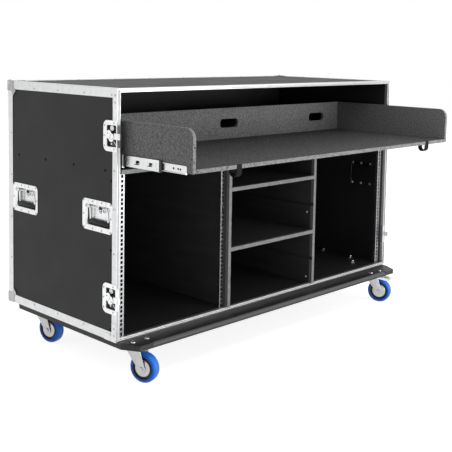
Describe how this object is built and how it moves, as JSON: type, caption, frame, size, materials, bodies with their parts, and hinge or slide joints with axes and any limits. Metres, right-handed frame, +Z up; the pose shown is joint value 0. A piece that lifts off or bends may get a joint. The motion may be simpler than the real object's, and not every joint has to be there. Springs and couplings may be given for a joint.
{
  "type": "rack case",
  "caption": "Wheeled wooden rack case with a pull-out tray over rack bays and a shelf bay, aluminium edging, recessed handles, latches and swivel casters.",
  "frame": {"origin": "on the floor, under the middle of the whole object's box", "axes": "+X to the right seen from the open front, -Y out of the open front, +Z up"},
  "size_m": [1.545, 0.9564, 0.9739],
  "materials": {
    "black_laminate": "plywood with a fine-textured black plastic laminate",
    "inner_black": "plywood painted flat black",
    "speckled_grey": "board with a hard speckled charcoal coating",
    "base_black": "birch plywood with satin black paint",
    "aluminium": "extruded, lightly brushed and anodised",
    "zinc_plate": "pressed steel, bright zinc plated",
    "rack_steel": "rolled steel, zinc plated",
    "grey_trim": "light grey edging",
    "blue_wheel": "elastic blue tyre on a moulded core"
  },
  "bodies": {
    "case": {"side_panel_left": "black_laminate", "side_panel_right": "black_laminate", "floor_panel": "black_laminate", "top_panel": "black_laminate", "back_panel": "black_laminate", "front_frame": "aluminium", "edge_frame": "aluminium", "divider_left": "inner_black", "divider_right": "inner_black", "crossboard": "inner_black", "shelf_lower": "inner_black", "shelf_upper": "inner_black", "board_trims": "grey_trim", "rack_strip_left_outer": "rack_steel", "rack_strip_left_inner": "rack_steel", "rack_strip_right_outer": "rack_steel", "rack_strip_right_inner": "rack_steel", "handle_dish_left_front": "zinc_plate", "handle_dish_left_rear": "zinc_plate", "handle_dish_right_front": "zinc_plate", "handle_dish_right_rear": "zinc_plate", "latch_plate_left_upper": "zinc_plate", "latch_plate_left_lower": "zinc_plate", "latch_plate_right_upper": "zinc_plate", "latch_plate_right_lower": "zinc_plate", "slide_outer_left": "zinc_plate", "slide_outer_right": "zinc_plate", "base_board": "base_black", "caster_plate_left_front": "zinc_plate", "caster_plate_left_rear": "zinc_plate", "caster_plate_right_front": "zinc_plate", "caster_plate_right_rear": "zinc_plate"},
    "tray": {"tray_floor": "speckled_grey", "tray_walls": "speckled_grey", "slide_inner_left": "zinc_plate", "slide_inner_right": "zinc_plate"},
    "slide_middles": {"slide_middle_left": "zinc_plate", "slide_middle_right": "zinc_plate"},
    "handle_bail_left_front": {"handle_bail_left_front": "zinc_plate"},
    "handle_bail_left_rear": {"handle_bail_left_rear": "zinc_plate"},
    "latch_key_left_upper": {"latch_key_left_upper": "zinc_plate"},
    "latch_hook_left_upper": {"latch_hook_left_upper": "zinc_plate"},
    "latch_key_left_lower": {"latch_key_left_lower": "zinc_plate"},
    "latch_hook_left_lower": {"latch_hook_left_lower": "zinc_plate"},
    "handle_bail_right_front": {"handle_bail_right_front": "zinc_plate"},
    "handle_bail_right_rear": {"handle_bail_right_rear": "zinc_plate"},
    "latch_key_right_upper": {"latch_key_right_upper": "zinc_plate"},
    "latch_hook_right_upper": {"latch_hook_right_upper": "zinc_plate"},
    "latch_key_right_lower": {"latch_key_right_lower": "zinc_plate"},
    "latch_hook_right_lower": {"latch_hook_right_lower": "zinc_plate"},
    "caster_fork_left_front": {"caster_fork_left_front": "zinc_plate"},
    "caster_wheel_left_front": {"caster_wheel_left_front": "blue_wheel"},
    "caster_fork_left_rear": {"caster_fork_left_rear": "zinc_plate"},
    "caster_wheel_left_rear": {"caster_wheel_left_rear": "blue_wheel"},
    "caster_fork_right_front": {"caster_fork_right_front": "zinc_plate"},
    "caster_wheel_right_front": {"caster_wheel_right_front": "blue_wheel"},
    "brake_pedal_right_front": {"brake_pedal_right_front": "zinc_plate"},
    "caster_fork_right_rear": {"caster_fork_right_rear": "zinc_plate"},
    "caster_wheel_right_rear": {"caster_wheel_right_rear": "blue_wheel"},
    "brake_pedal_right_rear": {"brake_pedal_right_rear": "zinc_plate"}
  },
  "joints": [
    {"name": "tray_slide", "type": "slide", "parent": "case", "child": "tray", "axis": [0, 1, 0], "range_m": [-0.08, 0.2686]},
    {"name": "slide_middles_travel", "type": "slide", "parent": "case", "child": "slide_middles", "axis": [0, 1, 0], "range_m": [-0.048, 0.16116]},
    {"name": "handle_bail_left_front_hinge", "type": "hinge", "parent": "case", "child": "handle_bail_left_front", "pos_m": [-0.7606, -0.0648, 0.5718], "axis": [0, 1, 0], "range_deg": [0, 90], "stiffness_Nm_per_rad": 0.08},
    {"name": "handle_bail_left_rear_hinge", "type": "hinge", "parent": "case", "child": "handle_bail_left_rear", "pos_m": [-0.7606, 0.3629, 0.5718], "axis": [0, 1, 0], "range_deg": [0, 90], "stiffness_Nm_per_rad": 0.08},
    {"name": "latch_key_left_upper_turn", "type": "hinge", "parent": "case", "child": "latch_key_left_upper", "pos_m": [-0.7683, -0.1343, 0.8163], "axis": [-1, 0, 0], "range_deg": [0, 180]},
    {"name": "latch_hook_left_upper_throw", "type": "slide", "parent": "case", "child": "latch_hook_left_upper", "axis": [0, -1, 0], "range_m": [0, 0.005]},
    {"name": "latch_key_left_lower_turn", "type": "hinge", "parent": "case", "child": "latch_key_left_lower", "pos_m": [-0.7683, -0.1343, 0.2853], "axis": [-1, 0, 0], "range_deg": [0, 180]},
    {"name": "latch_hook_left_lower_throw", "type": "slide", "parent": "case", "child": "latch_hook_left_lower", "axis": [0, -1, 0], "range_m": [0, 0.005]},
    {"name": "handle_bail_right_front_hinge", "type": "hinge", "parent": "case", "child": "handle_bail_right_front", "pos_m": [0.7425, -0.0648, 0.5718], "axis": [0, -1, 0], "range_deg": [0, 90], "stiffness_Nm_per_rad": 0.08},
    {"name": "handle_bail_right_rear_hinge", "type": "hinge", "parent": "case", "child": "handle_bail_right_rear", "pos_m": [0.7425, 0.3629, 0.5718], "axis": [0, -1, 0], "range_deg": [0, 90], "stiffness_Nm_per_rad": 0.08},
    {"name": "latch_key_right_upper_turn", "type": "hinge", "parent": "case", "child": "latch_key_right_upper", "pos_m": [0.7502, -0.1343, 0.8163], "axis": [1, 0, 0], "range_deg": [0, 180]},
    {"name": "latch_hook_right_upper_throw", "type": "slide", "parent": "case", "child": "latch_hook_right_upper", "axis": [0, -1, 0], "range_m": [0, 0.005]},
    {"name": "latch_key_right_lower_turn", "type": "hinge", "parent": "case", "child": "latch_key_right_lower", "pos_m": [0.7502, -0.1343, 0.2853], "axis": [1, 0, 0], "range_deg": [0, 180]},
    {"name": "latch_hook_right_lower_throw", "type": "slide", "parent": "case", "child": "latch_hook_right_lower", "axis": [0, -1, 0], "range_m": [0, 0.005]},
    {"name": "caster_left_front_swivel", "type": "hinge", "parent": "case", "child": "caster_fork_left_front", "pos_m": [-0.6833, -0.1648, 0.1154], "axis": [0, 0, 1], "continuous": true},
    {"name": "caster_left_front_roll", "type": "hinge", "parent": "caster_fork_left_front", "child": "caster_wheel_left_front", "pos_m": [-0.67187, -0.19999, 0.05], "axis": [0.9511, 0.309, 0], "continuous": true},
    {"name": "caster_left_rear_swivel", "type": "hinge", "parent": "case", "child": "caster_fork_left_rear", "pos_m": [-0.6833, 0.3682, 0.1154], "axis": [0, 0, 1], "continuous": true},
    {"name": "caster_left_rear_roll", "type": "hinge", "parent": "caster_fork_left_rear", "child": "caster_wheel_left_rear", "pos_m": [-0.67498, 0.33215, 0.05], "axis": [0.9744, 0.225, 0], "continuous": true},
    {"name": "caster_right_front_swivel", "type": "hinge", "parent": "case", "child": "caster_fork_right_front", "pos_m": [0.6652, -0.1648, 0.1154], "axis": [0, 0, 1], "continuous": true},
    {"name": "caster_right_front_roll", "type": "hinge", "parent": "caster_fork_right_front", "child": "caster_wheel_right_front", "pos_m": [0.67906, -0.19911, 0.05], "axis": [0.9272, 0.3746, 0], "continuous": true},
    {"name": "brake_pedal_right_front_press", "type": "hinge", "parent": "caster_fork_right_front", "child": "brake_pedal_right_front", "pos_m": [0.67494, -0.18891, 0.1062], "axis": [0.9272, 0.3746, 0], "range_deg": [0, 12]},
    {"name": "caster_right_rear_swivel", "type": "hinge", "parent": "case", "child": "caster_fork_right_rear", "pos_m": [0.6652, 0.3682, 0.1154], "axis": [0, 0, 1], "continuous": true},
    {"name": "caster_right_rear_roll", "type": "hinge", "parent": "caster_fork_right_rear", "child": "caster_wheel_right_rear", "pos_m": [0.6754, 0.33263, 0.05], "axis": [0.9613, 0.2756, 0], "continuous": true},
    {"name": "brake_pedal_right_rear_press", "type": "hinge", "parent": "caster_fork_right_rear", "child": "brake_pedal_right_rear", "pos_m": [0.67237, 0.34321, 0.1062], "axis": [0.9613, 0.2756, 0], "range_deg": [0, 12]}
  ],
  "couplings": [
    {"joint": "slide_middles_travel", "follows": "tray_slide", "ratio": 0.6},
    {"joint": "latch_hook_left_upper_throw", "follows": "latch_key_left_upper_turn", "m_per_rad": 0.0015915},
    {"joint": "latch_hook_left_lower_throw", "follows": "latch_key_left_lower_turn", "m_per_rad": 0.0015915},
    {"joint": "latch_hook_right_upper_throw", "follows": "latch_key_right_upper_turn", "m_per_rad": 0.0015915},
    {"joint": "latch_hook_right_lower_throw", "follows": "latch_key_right_lower_turn", "m_per_rad": 0.0015915}
  ]
}
